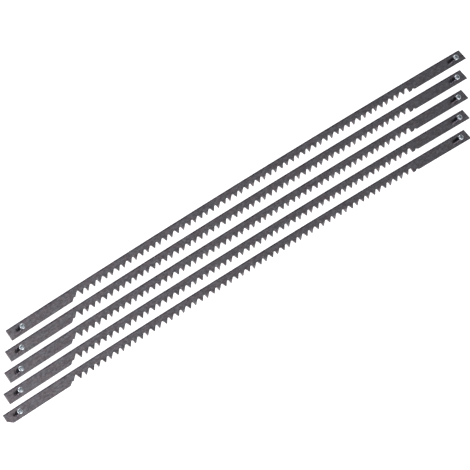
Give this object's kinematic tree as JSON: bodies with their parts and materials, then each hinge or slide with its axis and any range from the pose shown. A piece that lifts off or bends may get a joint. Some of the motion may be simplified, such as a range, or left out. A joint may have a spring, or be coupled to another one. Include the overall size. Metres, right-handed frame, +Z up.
{
  "type": "pin-end saw blade set",
  "caption": "Set of narrow pin-end coping or jeweller's saw blades lying side by side, with alternately set teeth along one edge and a short cross pin through each plain end.",
  "frame": {"origin": "centre of the set's bounding box, on the surface that the pins stand on", "axes": "+X along the blades, away from the end that the teeth point to; +Y from the teeth to the back edges, across the five blades; +Z up, along the cross pins"},
  "size_m": [0.1784, 0.0238, 0.0055],
  "materials": {
    "blade_steel": "dull grey tempered spring steel, ground along its length",
    "pin_steel": "bright cropped steel wire"
  },
  "bodies": {
    "blade_1": {"blade_1_strip": "blade_steel", "blade_1_left_pin": "pin_steel", "blade_1_right_pin": "pin_steel"},
    "blade_2": {"blade_2_strip": "blade_steel", "blade_2_left_pin": "pin_steel", "blade_2_right_pin": "pin_steel"},
    "blade_3": {"blade_3_strip": "blade_steel", "blade_3_left_pin": "pin_steel", "blade_3_right_pin": "pin_steel"},
    "blade_4": {"blade_4_strip": "blade_steel", "blade_4_left_pin": "pin_steel", "blade_4_right_pin": "pin_steel"},
    "blade_5": {"blade_5_strip": "blade_steel", "blade_5_left_pin": "pin_steel", "blade_5_right_pin": "pin_steel"}
  },
  "joints": [
    {"name": "lift_blade_1", "type": "slide", "parent": "blade_3", "child": "blade_1", "axis": [0, 0, 1], "range_m": [0, 0.04]},
    {"name": "lift_blade_2", "type": "slide", "parent": "blade_3", "child": "blade_2", "axis": [0, 0, 1], "range_m": [0, 0.04]},
    {"name": "lift_blade_4", "type": "slide", "parent": "blade_3", "child": "blade_4", "axis": [0, 0, 1], "range_m": [0, 0.04]},
    {"name": "lift_blade_5", "type": "slide", "parent": "blade_3", "child": "blade_5", "axis": [0, 0, 1], "range_m": [0, 0.04]}
  ]
}
